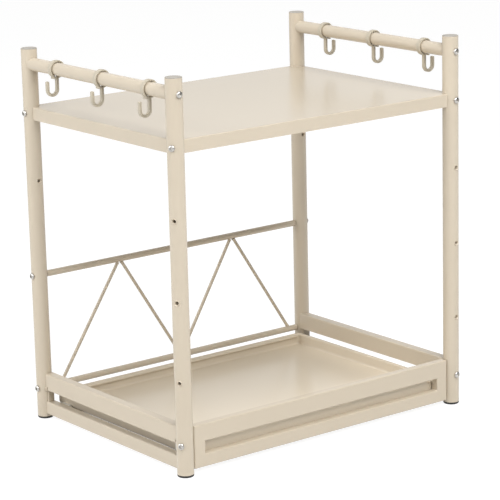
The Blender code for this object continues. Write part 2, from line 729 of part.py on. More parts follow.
def hook_outline():
    """The hook below the clip: a stem, a round bend and a rising tip."""
    half = HOOK_STROKE / 2
    lowest = -RAIL_RADIUS - HOOK_DROP
    bend_height = lowest + half + HOOK_BEND_RADIUS
    tip = 2 * HOOK_BEND_RADIUS
    tip_height = lowest + HOOK_TIP_RISE - half
    stem_top = -RAIL_RADIUS - GAP - CLIP_THICKNESS / 2
    outer_bend = arc(
        HOOK_BEND_RADIUS, bend_height, HOOK_BEND_RADIUS + half, math.pi, 2 * math.pi, SMALL_STEPS
    )
    tip_round = arc(tip, tip_height, half, 0, math.pi, BLOCK_STEPS)
    inner_bend = arc(
        HOOK_BEND_RADIUS, bend_height, HOOK_BEND_RADIUS - half, 2 * math.pi, math.pi, SMALL_STEPS
    )
    return [(-half, stem_top)] + outer_bend + tip_round + inner_bend + [(half, stem_top)]


def hook_mesh():
    clip = add_cutter("hook_clip", outline_mesh("hook_clip", clip_outline(), CLIP_WIDTH))
    hook = add_cutter("hook_stem", outline_mesh("hook_stem", hook_outline(), HOOK_WIDTH))
    combine(clip, hook, "UNION")
    return finished_mesh(clip)


def make_hooks(label, side_x, mesh):
    """The hooks of one rail, counted from the rear. Each opens outward and slides along the rail."""
    turn = Matrix.Rotation(0 if side_x > 0 else math.pi, 4, "Z")
    for count in range(HOOKS_PER_RAIL):
        share = FIRST_HOOK_SHARE + count * HOOK_PITCH_SHARE
        y = POST_Y - share * POST_SPACING_Y
        place = Matrix.Translation((side_x * POST_X, y, RAIL_HEIGHT)) @ turn @ standing_on_y()
        add_part(f"hook_{label}_{count + 1}", mesh.copy(), CREAM_PLASTIC, place)


def make_back_bar(name, height):
    """A round bar between the rear posts, tapped at both ends for its bolts."""
    radius = BACK_BAR_DIAMETER / 2
    half = POST_X - SEAT_RADIUS
    place = along((1, 0, 0), (0, POST_Y, height))
    bar = add_part(name, rod_mesh(name, radius, -half, half, SMALL_STEPS), CREAM_PAINT, place)
    for side_x in (-1, 1):
        origin = post_axis(side_x, 1, height)
        start = SEAT_RADIUS - OVERRUN
        end = SEAT_RADIUS + BAR_BOLT_GRIP + GAP
        drill(bar, f"{name}_tap_{side_x}", origin, (-side_x, 0, 0), start, end, BOLT_HOLE_RADIUS)


def make_brace_wires():
    """Thin wires in a zigzag between the back bars."""
    low_x = [POST_X * (2 * share - 1) for share in BRACE_LOW_SHARES]
    high_x = [POST_X * (2 * share - 1) for share in BRACE_HIGH_SHARES]
    spread = BRACE_FOOT_SPREAD / 2
    spans = [
        (low_x[0], high_x[0] - spread),
        (low_x[1] - spread, high_x[0] + spread),
        (low_x[1] + spread, high_x[1] - spread),
        (low_x[2], high_x[1] + spread),
    ]
    clearance = BACK_BAR_DIAMETER / 2 + GAP
    for count, (low, high) in enumerate(spans, start=1):
        name = f"brace_wire_{count}"
        start = Vector((low, POST_Y, LOWER_BAR_HEIGHT))
        end = Vector((high, POST_Y, UPPER_BAR_HEIGHT))
        mesh = rod_mesh(name, BRACE_WIRE_DIAMETER / 2, 0, (end - start).length, HOLE_STEPS)
        wire = add_part(name, mesh, CREAM_PAINT, along(end - start, start))
        for label, height in (("low", LOWER_BAR_HEIGHT), ("high", UPPER_BAR_HEIGHT)):
            cutter_name = f"{name}_{label}"
            cutter_mesh = rod_mesh(cutter_name, clearance, -POST_X, POST_X, SMALL_STEPS)
            cutter = add_cutter(cutter_name, cutter_mesh, along((1, 0, 0), (0, POST_Y, height)))
            combine(wire, cutter, "DIFFERENCE")


clear_scene()
parts = new_collection("storage_organizer")
cutters = new_collection("cutters")
cutters.hide_render = True

for corner_name, (corner_x, corner_y, bolt_turn) in CORNERS.items():
    make_post(corner_name, corner_x, corner_y, bolt_turn)
    make_cap(corner_name, corner_x, corner_y)
    make_foot(corner_name, corner_x, corner_y)
    make_base_corner(corner_name, corner_x, corner_y, bolt_turn)
    make_bolts(corner_name, corner_x, corner_y, bolt_turn)

make_shelf()
make_stiffener()
make_drawer_front()
make_drawer_pan()
make_cross_rail("cross_rail_front", -CROSS_RAIL_FROM_CENTRE)
make_cross_rail("cross_rail_rear", CROSS_RAIL_FROM_CENTRE)
make_back_bar("back_bar_upper", UPPER_BAR_HEIGHT)
make_back_bar("back_bar_lower", LOWER_BAR_HEIGHT)
make_brace_wires()

shared_hook = hook_mesh()
for side_label, side in (("left", -1), ("right", 1)):
    make_side_band(f"side_upper_band_{side_label}", side, upper_band_path(side), (-side, 0, 0))
    lower_band = make_side_band(
        f"side_lower_band_{side_label}", side, lower_band_path(side), (0, 0, 1)
    )
    end_lips(lower_band, side)
    make_glides(side_label, side)
    make_rail(side_label, side)
    make_hooks(side_label, side, shared_hook)
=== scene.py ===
# %% [markdown]
# # Storage organizer with drawer
# A steel rack in cream powder coat: four tube posts, a flat upper shelf, a hook rail on each short side, a braced
# back and a shallow drawer at the base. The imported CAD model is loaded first. It fixes every size and place, and
# the cells below it dress that frame with finer pieces, finishes, light and a camera.

# %% Load the frame
import json
import math

import bmesh
import bpy
from mathutils import Matrix, Vector


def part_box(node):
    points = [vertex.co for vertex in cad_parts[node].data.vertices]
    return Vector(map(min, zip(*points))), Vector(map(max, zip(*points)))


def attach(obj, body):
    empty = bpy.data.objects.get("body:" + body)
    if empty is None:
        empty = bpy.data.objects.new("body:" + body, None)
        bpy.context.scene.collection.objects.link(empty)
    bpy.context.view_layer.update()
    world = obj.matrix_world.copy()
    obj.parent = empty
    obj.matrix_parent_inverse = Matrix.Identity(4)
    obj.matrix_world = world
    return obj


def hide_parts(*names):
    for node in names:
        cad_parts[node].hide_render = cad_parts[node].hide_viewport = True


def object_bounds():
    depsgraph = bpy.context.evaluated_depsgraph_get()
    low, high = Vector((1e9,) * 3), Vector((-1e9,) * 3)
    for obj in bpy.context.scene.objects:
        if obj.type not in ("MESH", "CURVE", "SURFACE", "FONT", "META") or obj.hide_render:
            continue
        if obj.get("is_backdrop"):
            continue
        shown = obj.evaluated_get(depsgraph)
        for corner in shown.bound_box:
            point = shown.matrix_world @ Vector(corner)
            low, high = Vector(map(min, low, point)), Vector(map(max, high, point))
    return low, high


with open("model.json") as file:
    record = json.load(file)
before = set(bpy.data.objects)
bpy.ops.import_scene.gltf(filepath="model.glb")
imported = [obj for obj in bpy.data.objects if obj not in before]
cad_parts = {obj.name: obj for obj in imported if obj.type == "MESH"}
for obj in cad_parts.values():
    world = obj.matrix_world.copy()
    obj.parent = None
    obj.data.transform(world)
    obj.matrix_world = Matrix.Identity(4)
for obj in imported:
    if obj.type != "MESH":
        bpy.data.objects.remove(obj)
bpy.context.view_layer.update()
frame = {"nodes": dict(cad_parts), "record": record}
nodes = frame["nodes"]
MM = 0.001

# %% [markdown]
# ## Camera
# The rack is seen from its front left corner, a little from above, with a long lens from about 3.7 m away. The
# place and the turn were fitted to the ends of the posts. The lens looks slightly past the middle of the rack,
# so a small shift takes up the rest.

# %% Camera
CAMERA_PLACE = Vector((-2.125, -2.777, 1.128))
CAMERA_AZIMUTH = math.radians(37.07)
CAMERA_PITCH = math.radians(-13.96)
CAMERA_ROLL = math.radians(-1.49)
CAMERA_LENS = 165.9
CAMERA_SHIFT = (0.0374, 0.0038)

camera_data = bpy.data.cameras.new("camera")
camera_data.lens = CAMERA_LENS
camera_data.sensor_width = 36
camera_data.shift_x, camera_data.shift_y = CAMERA_SHIFT
camera = bpy.data.objects.new("camera", camera_data)
camera.matrix_world = (
    Matrix.Translation(CAMERA_PLACE)
    @ Matrix.Rotation(-CAMERA_AZIMUTH, 4, "Z")
    @ Matrix.Rotation(math.radians(90) + CAMERA_PITCH, 4, "X")
    @ Matrix.Rotation(CAMERA_ROLL, 4, "Z")
)
bpy.context.scene.collection.objects.link(camera)
bpy.context.scene.camera = camera
bpy.context.scene.view_settings.view_transform = "Standard"
print("camera distance:", round(CAMERA_PLACE.length, 3), "m")

# %% [markdown]
# ## Shader sums
# A finish is easier to read as a sum than as a net of nodes. One small class wraps an output socket, so that plain
# Python signs add Math nodes. A second makes any other node by one method, for the materials and for the world.


# %% Shader helpers
class Value:
    """A number that a shader works out at each point or for each ray."""

    def __init__(self, owner, socket):
        self.owner = owner
        self.socket = socket

    def math(self, operation, first, second):
        node = self.owner.add("ShaderNodeMath", {"operation": operation}, {0: first, 1: second})
        return Value(self.owner, node.outputs[0])

    def __add__(self, other):
        return self.math("ADD", self, other)

    def __radd__(self, other):
        return self.math("ADD", other, self)

    def __mul__(self, other):
        return self.math("MULTIPLY", self, other)

    def __rmul__(self, other):
        return self.math("MULTIPLY", other, self)


class Net:
    """The nodes of a material or of the world."""

    def __init__(self, tree):
        self.tree = tree

    def add(self, kind, settings=None, inputs=None):
        """A node of that kind. Its settings are set first, then the values or links of its inputs."""
        node = self.tree.nodes.new(kind)
        for key, value in (settings or {}).items():
            setattr(node, key, value)
        for key, value in (inputs or {}).items():
            self.feed(node.inputs[key], value)
        return node

    def feed(self, target, value):
        if isinstance(value, Value):
            value = value.socket
        if isinstance(value, bpy.types.NodeSocket):
            self.tree.links.new(value, target)
        else:
            target.default_value = value


class Finish(Net):
    """A material with a Principled shader, and the nodes that feed it."""

    def __init__(self, name):
        self.material = bpy.data.materials.new(name)
        self.material.use_nodes = True
        super().__init__(self.material.node_tree)
        self.shader = self.tree.nodes["Principled BSDF"]
        self.output = self.tree.nodes["Material Output"]
        self.place = self.add("ShaderNodeTexCoord").outputs["Object"]

    def noise(self, size, detail=2.0, roughness=0.5):
        """Soft grain from 0 to 1, whose patches are about this size in metres."""
        inputs = {"Vector": self.place, "Scale": 1 / size, "Detail": detail, "Roughness": roughness}
        return Value(self, self.add("ShaderNodeTexNoise", None, inputs).outputs["Fac"])

    def blend(self, factor, first, second):
        """A colour between two others."""
        inputs = {"Factor": factor, "A": (*first, 1), "B": (*second, 1)}
        return self.add("ShaderNodeMix", {"data_type": "RGBA"}, inputs).outputs["Result"]

    def bump(self, height, depth):
        """Raises the surface by a height from 0 to 1, times a depth in metres."""
        node = self.add("ShaderNodeBump", None, {"Height": height, "Distance": depth})
        self.feed(self.shader.inputs["Normal"], node.outputs["Normal"])

    def set(self, **values):
        for key, value in values.items():
            self.feed(self.shader.inputs[key.replace("_", " ")], value)


print("shader helpers ready")

# %% [markdown]
# ## Powder coat
# The steel is covered with baked powder paint: an even cream with a soft gloss. Close up it has a fine orange
# peel, and the gloss drifts slightly from place to place. Both come from noise on the object's own coordinates,
# so the grain has its real size on every piece. The drawer's pan gets a lighter copy of the same cream: painted
# light that brightens the pan, which sits in shade under the shelf and behind the side slots.

# %% Powder coat
CREAM = (0.625, 0.547, 0.436)
CREAM_WARM = (0.605, 0.524, 0.408)
# Painted light: the pan's cream is lighter than the rack's and stands in for light that the shaded pan lacks.
PAN_CREAM_PAINTED_LIGHT = (0.70, 0.62, 0.50)
PAN_CREAM_WARM_PAINTED_LIGHT = (0.68, 0.60, 0.475)


def powder_coat(name, colour, warm_colour, gloss=0.23):
    finish = Finish(name)
    drift = finish.noise(90 * MM, detail=1.0)
    peel = finish.noise(1.6 * MM, detail=1.5)
    grit = finish.noise(0.5 * MM, detail=0.0)
    speck = finish.noise(7 * MM, detail=3.0, roughness=0.6)
    finish.set(
        Base_Color=finish.blend(drift * 0.55 + speck * 0.25, colour, warm_colour),
        Roughness=gloss - 0.02 + drift * 0.03 + speck * 0.02,
    )
    finish.bump(peel * 0.75 + grit * 0.25, 0.008 * MM)
    return finish.material


paint = powder_coat("cream_powder_coat", CREAM, CREAM_WARM)
# The pan's finish carries that painted light: a lighter cream than the rack's.
pan_paint_painted_light = powder_coat("cream_powder_coat_painted_light", PAN_CREAM_PAINTED_LIGHT, PAN_CREAM_WARM_PAINTED_LIGHT)
print("finishes:", paint.name, pan_paint_painted_light.name)

# %% [markdown]
# ## Moulded plastic, nylon, rubber and steel
# The caps and the hooks are moulded plastic in a slightly greyer cream. The glides are white nylon, the feet black
# rubber and the bolts plated steel. Each is one shader with its own grain: satin for plastic, dusty for rubber
# and finely brushed for steel.

# %% Small finishes
HOOK_CREAM = (0.53, 0.475, 0.375)
CAP_CREAM = (0.42, 0.39, 0.345)
NYLON_WHITE = (0.80, 0.79, 0.74)
RUBBER_BLACK = (0.018, 0.018, 0.018)
RUBBER_DUST = (0.06, 0.058, 0.055)
STEEL_BRIGHT = (0.60, 0.585, 0.56)
STEEL_DULL = (0.42, 0.405, 0.38)


def moulded(name, colour, gloss, grain=0.9 * MM, depth=0.03 * MM):
    """Injection-moulded plastic: even colour, satin skin."""
    finish = Finish(name)
    drift = finish.noise(12 * MM)
    fine = finish.noise(grain, detail=2.0)
    darker = tuple(0.93 * channel for channel in colour)
    finish.set(
        Base_Color=finish.blend(drift * 0.6, colour, darker),
        Roughness=gloss - 0.03 + fine * 0.06,
    )
    finish.bump(fine, depth)
    return finish.material


def rubber(name):
    finish = Finish(name)
    dust = finish.noise(3 * MM, detail=4.0)
    fine = finish.noise(0.7 * MM)
    finish.set(
        Base_Color=finish.blend(dust * 0.5, RUBBER_BLACK, RUBBER_DUST),
        Roughness=0.62 + dust * 0.2,
    )
    finish.bump(fine, 0.05 * MM)
    return finish.material


def plated_steel(name):
    finish = Finish(name)
    stain = finish.noise(2.5 * MM, detail=3.0)
    scratch = finish.noise(0.4 * MM, detail=1.0)
    finish.set(
        Base_Color=finish.blend(stain, STEEL_BRIGHT, STEEL_DULL),
        Metallic=1.0,
        Roughness=0.22 + stain * 0.12,
    )
    finish.bump(scratch, 0.012 * MM)
    return finish.material


hook_plastic = moulded("hook_plastic", HOOK_CREAM, 0.38)
cap_plastic = moulded("cap_plastic", CAP_CREAM, 0.46)
nylon = moulded("white_nylon", NYLON_WHITE, 0.5, grain=1.4 * MM)
foot_rubber = rubber("black_rubber")
bolt_steel = plated_steel("plated_steel")
FINISHES = {
    "cream_paint": paint,
    "cream_plastic": hook_plastic,
    "bolt_steel": bolt_steel,
    "black_rubber": foot_rubber,
    "white_nylon": nylon,
}
print("finishes:", sorted(FINISHES))

# %% [markdown]
# ## CAD pieces that keep their shape
# Every CAD piece first gets its finish. The record names a material slot for each, so the finish is looked up
# there. Pieces that need a finer shape are replaced further down.

# %% Dress the CAD pieces
slot_of = {part["node"]: part["material_slot"] for part in frame["record"]["subparts"]}
for name, node in nodes.items():
    material = FINISHES[slot_of[name]]
    if not node.data.materials:
        node.data.materials.append(material)
    for slot in node.material_slots:
        slot.material = material
print("dressed:", len(slot_of), "pieces")

# %% [markdown]
# ## Making a piece
# A finer piece is drawn as a bmesh, its edges are rounded, and the finished mesh is joined to the frame. Most stand
# for one CAD piece: they ride on its body and hide it, and unless another finish is given they take the finish named
# by its slot. The nuts in the spare holes and the blocks under the shelf are added to the rack. Every object stays
# at the origin, so that the grain keeps its place.


# %% Piece helpers
SPIN_MERGE = 0.001 * MM
CUT_MERGE = 0.002 * MM
CREASE = 32
FLAT_WEIGHT = 80
body_of = {name: body for body, names in frame["record"]["behaviour"]["bodies"].items() for name in names}


def temporary(name, bm):
    """An object for a mesh that is still being worked on."""
    mesh = bpy.data.meshes.new(name)
    bm.to_mesh(mesh)
    bm.free()
    obj = bpy.data.objects.new(name, mesh)
    bpy.context.scene.collection.objects.link(obj)
    return obj


def closed_up(bm, merge=SPIN_MERGE):
    """Merges points that fall together, and turns all faces outward."""
    bmesh.ops.remove_doubles(bm, verts=bm.verts, dist=merge)
    bmesh.ops.recalc_face_normals(bm, faces=bm.faces)
    return bm


def shifted(bm, move):
    bmesh.ops.translate(bm, vec=move, verts=bm.verts)
    return bm


def drawn_on(bm, edges, move=(0, 0, 0)):
    """Draws edges on by a vector as new faces. Returns the new points and the new edges that run along with them."""
    fresh = bmesh.ops.extrude_edge_only(bm, edges=edges)["geom"]
    points = [item for item in fresh if isinstance(item, bmesh.types.BMVert)]
    bmesh.ops.translate(bm, vec=move, verts=points)
    front = [item for item in fresh if isinstance(item, bmesh.types.BMEdge) and all(v in points for v in item.verts)]
    return points, front


def settled(obj):
    """The object's bmesh with its modifiers applied and doubles merged. The object is removed."""
    bpy.context.view_layer.update()
    graph = bpy.context.evaluated_depsgraph_get()
    mesh = bpy.data.meshes.new_from_object(obj.evaluated_get(graph))
    bpy.data.objects.remove(obj, do_unlink=True)
    bm = bmesh.new()
    bm.from_mesh(mesh)
    bpy.data.meshes.remove(mesh)
    return closed_up(bm, CUT_MERGE)


def shaped(bm, cutters, operation="DIFFERENCE"):
    """Cuts or joins a bmesh with others."""
    obj = temporary("work", bm)
    tools = [temporary("tool", cutter) for cutter in cutters]
    for tool in tools:
        modifier = obj.modifiers.new("cut", "BOOLEAN")
        modifier.operation = operation
        modifier.object = tool
        modifier.solver = "EXACT"
    result = settled(obj)
    for tool in tools:
        bpy.data.objects.remove(tool, do_unlink=True)
    return result


def softened(bm, width, segments=2, angle=40):
    """Rounds the sharp edges of a bmesh."""
    obj = temporary("work", bm)
    bevel = obj.modifiers.new("soft edges", "BEVEL")
    bevel.width = width
    bevel.segments = segments
    bevel.limit_method = "ANGLE"
    bevel.angle_limit = math.radians(angle)
    bevel.use_clamp_overlap = True
    return settled(obj)


def walled(bm, thickness):
    """Gives an open surface a wall on its inner side."""
    obj = temporary("work", bm)
    wall = obj.modifiers.new("wall", "SOLIDIFY")
    wall.thickness = thickness
    wall.offset = -1
    wall.use_even_offset = True
    return settled(obj)


def add_piece(name, bm, material, body, replaced=(), crease=CREASE):
    """Names a finished bmesh and joins it to the frame. Edges sharper than the crease, in degrees, stay sharp."""
    mesh = bpy.data.meshes.new(name)
    bm.to_mesh(mesh)
    bm.free()
    mesh.shade_smooth()
    mesh.set_sharp_from_angle(angle=math.radians(crease))
    mesh.materials.append(material)
    piece = bpy.data.objects.new(name, mesh)
    bpy.context.scene.collection.objects.link(piece)
    flat = piece.modifiers.new("flat faces stay flat", "WEIGHTED_NORMAL")
    flat.weight = FLAT_WEIGHT
    flat.keep_sharp = True
    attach(piece, body)
    if replaced:
        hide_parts(*replaced)
    return piece


def stand_for(node, bm, material=None, crease=CREASE):
    """A finer piece in the place of a CAD piece."""
    slot = slot_of[node]
    return add_piece(f"{node}_fine", bm, material or FINISHES[slot], body_of[node], (node,), crease)


print("piece helpers ready")

# %% [markdown]
# ## Turned shapes
# Posts, caps, feet, rails, bars and bolts are all round. Each is half of a cross-section, spun about its axis. The
# corners of the section are rounded first, so that every rim catches a thin line of light.


# %% Turned shapes
ROUND_STEPS = 72


def turned(profile, steps=ROUND_STEPS, closed=False):
    """Spins (radius, height) points about Z."""
    bm = bmesh.new()
    points = [bm.verts.new((radius, 0, height)) for radius, height in profile]
    edges = [bm.edges.new(pair) for pair in zip(points, points[1:])]
    if closed:
        edges.append(bm.edges.new((points[-1], points[0])))
    bmesh.ops.spin(
        bm, geom=points + edges, cent=(0, 0, 0), axis=(0, 0, 1), angle=math.tau, steps=steps, use_merge=True
    )
    return closed_up(bm)


def rod(radius, bottom, top, steps=ROUND_STEPS):
    """A cylinder about Z."""
    return turned([(0, top), (radius, top), (radius, bottom), (0, bottom)], steps)


def placed(bm, direction, origin):
    """Turns +Z to a direction and moves the origin."""
    turn = Vector(direction).to_track_quat("Z", "Y").to_matrix().to_4x4()
    bmesh.ops.transform(bm, matrix=Matrix.Translation(origin) @ turn, verts=bm.verts)
    return bm


print("a full turn has", ROUND_STEPS, "steps")

# %% [markdown]
# ## Posts
# A post is a round tube with drilled holes: one for the rail bolt, one for the shelf, one for the base, and more in
# front for other shelf heights. The tube is spun, and the holes are cut with rods. Its radius, its length and its
# place are read from the CAD post.

# %% Posts
# For each corner its side in X, its side in Y, and the angle from the Y axis at which its bolts look.
CORNERS = {
    "front_left": (-1, -1, math.radians(61)),
    "front_right": (1, -1, math.radians(3)),
    "rear_left": (-1, 1, math.radians(90)),
    "rear_right": (1, 1, math.radians(90)),
}
POST_WALL = 1.2 * MM
POST_END_ROUND = 0.4 * MM
CAP_PLATE = 0.8 * MM
HOLE_RADIUS = 3.3 * MM
HOLE_STEPS = 36
RAIL_HEIGHT = 566 * MM
SHELF_BOLT_HEIGHT = 490 * MM
UPPER_BAR_HEIGHT = 232 * MM
LOWER_BAR_HEIGHT = 49 * MM
LOWEST_LEVEL = 144 * MM
LEVEL_STEP = 120.062 * MM
LEVEL_HEIGHTS = [LOWEST_LEVEL + level * LEVEL_STEP for level in range(3)]
OVERRUN = 5 * MM
CAP_GAP = 0.05 * MM
SEAT_GAP = 0.3 * MM
SPIGOT_HOLE_RADIUS = 6.3 * MM
CUTTER_TOP = 600 * MM
CUTTER_STEPS = 96


def post_axis(corner, height=0.0):
    """The middle of a post at a height."""
    low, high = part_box(f"post_{corner}")
    return Vector(((low.x + high.x) / 2, (low.y + high.y) / 2, height))


def bolt_direction(corner):
    """Where the heads of a post's bolts look, apart from the rail's bolt."""
    side_x, side_y, turn = CORNERS[corner]
    return Vector((side_x * math.sin(turn), side_y * math.cos(turn), 0))


def drill(corner, height, direction, start, end, radius=HOLE_RADIUS):
    """A rod that cuts a hole through a post."""
    return placed(rod(radius, start, end, HOLE_STEPS), direction, post_axis(corner, height))


def post_cutters(corners):
    """Rods that keep a piece clear of the posts."""
    return [shifted(rod(SEAT_RADIUS, -OVERRUN, CUTTER_TOP, CUTTER_STEPS), post_axis(corner)) for corner in corners]


low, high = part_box("post_front_left")
POST_RADIUS = (high.x - low.x) / 2
SEAT_RADIUS = POST_RADIUS + SEAT_GAP
REACH = abs(post_axis("front_left").y)
for corner, (_, side_y, _) in CORNERS.items():
    low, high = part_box(f"post_{corner}")
    bore = POST_RADIUS - POST_WALL
    ends = POST_END_ROUND
    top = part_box(f"post_cap_{corner}")[1].z - CAP_PLATE - CAP_GAP
    profile = [
        (POST_RADIUS - ends, top),
        (POST_RADIUS - 0.3 * ends, top - 0.3 * ends),
        (POST_RADIUS, top - ends),
        (POST_RADIUS, low.z + ends),
        (POST_RADIUS - 0.3 * ends, low.z + 0.3 * ends),
        (POST_RADIUS - ends, low.z),
        (bore, low.z),
        (bore, top),
    ]
    tube = shifted(turned(profile, closed=True), post_axis(corner))
    outside = POST_RADIUS + OVERRUN
    outward = bolt_direction(corner)
    length_wise = Vector((0, side_y, 0))
    holes = [
        drill(corner, RAIL_HEIGHT, length_wise, -outside, outside),
        drill(corner, SHELF_BOLT_HEIGHT, outward, -outside, outside),
        drill(corner, LOWER_BAR_HEIGHT, -length_wise, 0, outside, SPIGOT_HOLE_RADIUS),
    ]
    if side_y < 0:
        holes.append(drill(corner, LOWER_BAR_HEIGHT, outward, 0, outside))
        holes += [drill(corner, height, outward, 0, outside) for height in LEVEL_HEIGHTS]
    else:
        bars = (UPPER_BAR_HEIGHT, LOWER_BAR_HEIGHT)
        holes += [drill(corner, height, outward, -outside, outside) for height in bars]
        holes.append(drill(corner, LEVEL_HEIGHTS[-1], length_wise, -outside, outside))
    stand_for(f"post_{corner}", shaped(tube, holes))
print("posts: 4, radius", round(POST_RADIUS / MM, 2), "mm")

# %% [markdown]
# ## Caps and feet
# A flat plastic cap closes each post at the top, with a soft rim and a shallow dish. A rubber foot stands under
# it, a little rounded where it meets the floor. Both have a plug inside the tube.

# %% Caps and feet
PLUG_RADIUS = POST_RADIUS - POST_WALL - SEAT_GAP
PLUG_CHAMFER = 0.8 * MM
FOOT_PLATE = 3.2 * MM
for corner in CORNERS:
    low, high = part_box(f"post_cap_{corner}")
    top = high.z
    cap = turned([
        (0, top - 0.15 * MM),
        (POST_RADIUS - 2.2 * MM, top - 0.1 * MM),
        (POST_RADIUS - 1.2 * MM, top),
        (POST_RADIUS - 0.6 * MM, top - 0.05 * MM),
        (POST_RADIUS - 0.2 * MM, top - 0.25 * MM),
        (POST_RADIUS, top - 0.5 * MM),
        (POST_RADIUS, top - CAP_PLATE),
        (PLUG_RADIUS, top - CAP_PLATE),
        (PLUG_RADIUS, low.z + PLUG_CHAMFER),
        (PLUG_RADIUS - PLUG_CHAMFER, low.z),
        (0, low.z),
    ])
    stand_for(f"post_cap_{corner}", shifted(cap, post_axis(corner)), cap_plastic)

    low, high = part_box(f"foot_{corner}")
    foot = turned([
        (0, high.z),
        (PLUG_RADIUS - PLUG_CHAMFER, high.z),
        (PLUG_RADIUS, high.z - PLUG_CHAMFER),
        (PLUG_RADIUS, FOOT_PLATE),
        (POST_RADIUS - 0.5 * MM, FOOT_PLATE),
        (POST_RADIUS - 0.1 * MM, FOOT_PLATE - 0.4 * MM),
        (POST_RADIUS, FOOT_PLATE - 0.9 * MM),
        (POST_RADIUS - 0.1 * MM, 1.5 * MM),
        (POST_RADIUS - 0.5 * MM, 0.7 * MM),
        (POST_RADIUS - 1.2 * MM, 0.15 * MM),
        (POST_RADIUS - 2.0 * MM, 0),
        (0, 0),
    ])
    stand_for(f"foot_{corner}", shifted(foot, post_axis(corner)))
print("caps: 4, feet: 4")

# %% [markdown]
# ## Bolts and hole nuts
# Plated button-head bolts hold the rails, the shelf, the base and the back. The head is a spun dome with a
# six-sided socket pressed into it. The spare holes for other shelf heights have a thin riveted nut, painted with
# the post, which leaves a small dark thread hole.

# %% Bolts
HEAD_RADIUS = 5.0 * MM
HEAD_HEIGHT = 2.8 * MM
SHANK_RADIUS = 3.0 * MM
SOCKET_RADIUS = 2.6 * MM
SOCKET_DEPTH = 2.0 * MM
HEAD_FLAT = 2.0 * MM
HEAD_RIM = 0.5 * MM
DOME_STEPS = 8
BOLT_STEPS = 48
SHANK_REACH = {"rail": 26.8 * MM, "shelf": 16.8 * MM, "back_bar": 22.8 * MM, "base": 4.0 * MM}
REAR_BASE_REACH = 22.8 * MM


def bolt(reach):
    """A button-head bolt on +Z, whose shank ends at minus the reach."""
    top = SEAT_RADIUS + HEAD_HEIGHT
    dome = []
    for step in range(DOME_STEPS + 1):
        angle = step / DOME_STEPS * math.radians(90)
        radius = HEAD_FLAT + (HEAD_RADIUS - HEAD_FLAT) * math.sin(angle)
        dome.append((radius, SEAT_RADIUS + HEAD_RIM + (HEAD_HEIGHT - HEAD_RIM) * math.cos(angle)))
    profile = [(0, top)] + dome + [
        (HEAD_RADIUS, SEAT_RADIUS + 0.15 * MM),
        (HEAD_RADIUS - 0.15 * MM, SEAT_RADIUS),
        (SHANK_RADIUS, SEAT_RADIUS),
        (SHANK_RADIUS, -reach + PLUG_CHAMFER),
        (SHANK_RADIUS - PLUG_CHAMFER, -reach),
        (0, -reach),
    ]
    socket = bmesh.new()
    bmesh.ops.create_cone(
        socket,
        cap_ends=True,
        segments=6,
        radius1=SOCKET_RADIUS,
        radius2=SOCKET_RADIUS,
        depth=2 * SOCKET_DEPTH,
        matrix=Matrix.Translation((0, 0, top)),
    )
    return shaped(turned(profile, BOLT_STEPS), [socket])


bolts = [name for name in nodes if "_bolt_" in name]
for name in bolts:
    corner = next(corner for corner in CORNERS if name.endswith(corner))
    side_y = CORNERS[corner][1]
    holds = name.split("_bolt_")[0]
    low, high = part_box(name)
    outward = Vector((0, side_y, 0)) if holds == "rail" else bolt_direction(corner)
    reach = REAR_BASE_REACH if holds == "base" and side_y > 0 else SHANK_REACH[holds]
    stand_for(name, placed(bolt(reach), outward, post_axis(corner, (low.z + high.z) / 2)))
print("bolts:", len(bolts))

# %% Hole nuts
NUT_FLANGE_RADIUS = 4.4 * MM
NUT_SLEEVE_RADIUS = 3.2 * MM
NUT_BORE_RADIUS = 2.45 * MM
NUT_LENGTH = 8 * MM
NUT_STANDS_OUT = 0.55 * MM
NUT_STEPS = 40


def hole_nut():
    """A riveted nut whose flange lies on the outside of a post."""
    face = POST_RADIUS + NUT_STANDS_OUT
    return turned([
        (NUT_BORE_RADIUS, face - 1.5 * MM),
        (NUT_BORE_RADIUS + 0.9 * MM, face - 0.25 * MM),
        (NUT_BORE_RADIUS + 1.2 * MM, face),
        (NUT_FLANGE_RADIUS - 0.3 * MM, face - 0.1 * MM),
        (NUT_FLANGE_RADIUS, POST_RADIUS - 0.5 * MM),
        (NUT_SLEEVE_RADIUS, POST_RADIUS - 0.7 * MM),
        (NUT_SLEEVE_RADIUS, POST_RADIUS - NUT_LENGTH),
        (NUT_BORE_RADIUS, POST_RADIUS - NUT_LENGTH),
    ], NUT_STEPS, closed=True)


nuts = 0
for corner, (_, side_y, _) in CORNERS.items():
    if side_y < 0:
        spots = [(height, bolt_direction(corner)) for height in LEVEL_HEIGHTS]
    else:
        spots = [(LEVEL_HEIGHTS[-1], Vector((0, -1, 0)))]
    for height, direction in spots:
        nuts += 1
        nut = placed(hole_nut(), direction, post_axis(corner, height))
        add_piece(f"hole_nut_{nuts}", nut, paint, "rack")
print("hole nuts:", nuts)

# %% [markdown]
# ## Rails, back bars and brace wires
# The rails and bars are rods. A rail's ends are shaped to the round of the post. The thin wires of the brace are
# welded to the bars, so each end gets a small bead of weld under the same paint.

# %% Rails
RAIL_STEPS = 64
for side in ("left", "right"):
    low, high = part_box(f"side_rail_{side}")
    rail = placed(rod((high.z - low.z) / 2, -REACH, REACH, RAIL_STEPS), (0, 1, 0), (low + high) / 2)
    posts = post_cutters(corner for corner in CORNERS if corner.endswith(side))
    stand_for(f"side_rail_{side}", shaped(rail, posts))
print("rails: 2")

